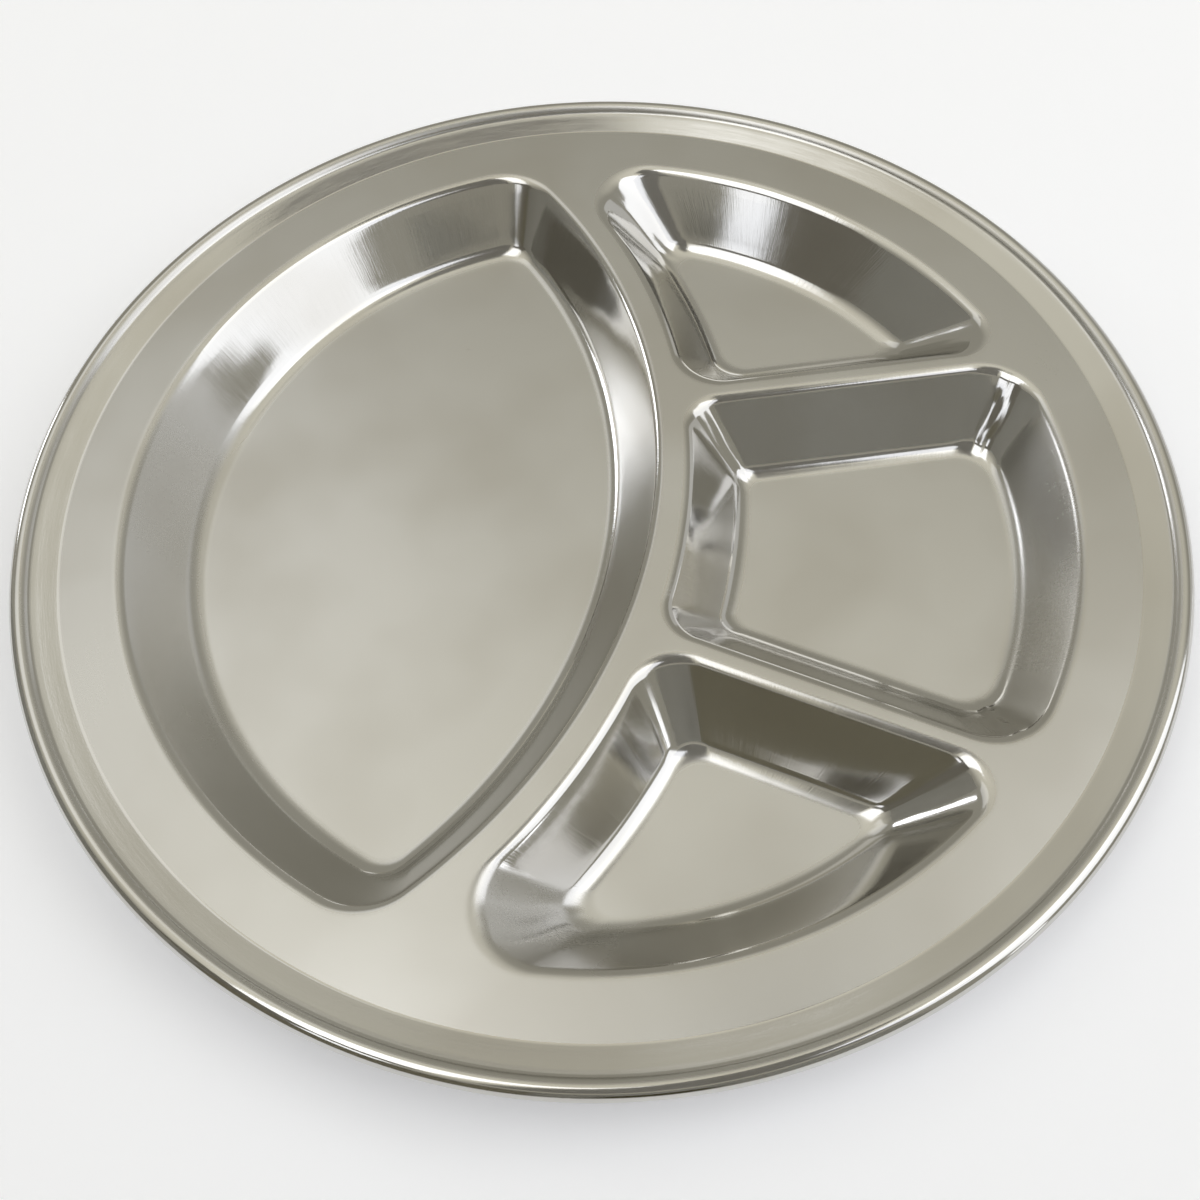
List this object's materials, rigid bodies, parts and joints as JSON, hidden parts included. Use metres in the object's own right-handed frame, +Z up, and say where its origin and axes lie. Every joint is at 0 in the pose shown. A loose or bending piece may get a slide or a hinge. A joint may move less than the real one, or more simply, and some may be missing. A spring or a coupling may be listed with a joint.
{
  "type": "divided compartment plate",
  "caption": "Round pressed steel plate with a half-moon well beside a fan of smaller wells, a flat border and a rolled, wired edge.",
  "frame": {"origin": "middle of the underside, in the plane the plate stands on", "axes": "+Z up, +X from the half-moon well toward the middle small well, +Y to the left of that"},
  "size_m": [0.28, 0.28, 0.0199],
  "materials": {
    "pressed_sheet": "satin border and floors, polished well walls and edge",
    "wire": "drawn wire, bare"
  },
  "bodies": {
    "root": {"pressed_plate": "pressed_sheet", "rim_wire": "wire"}
  },
  "joints": []
}
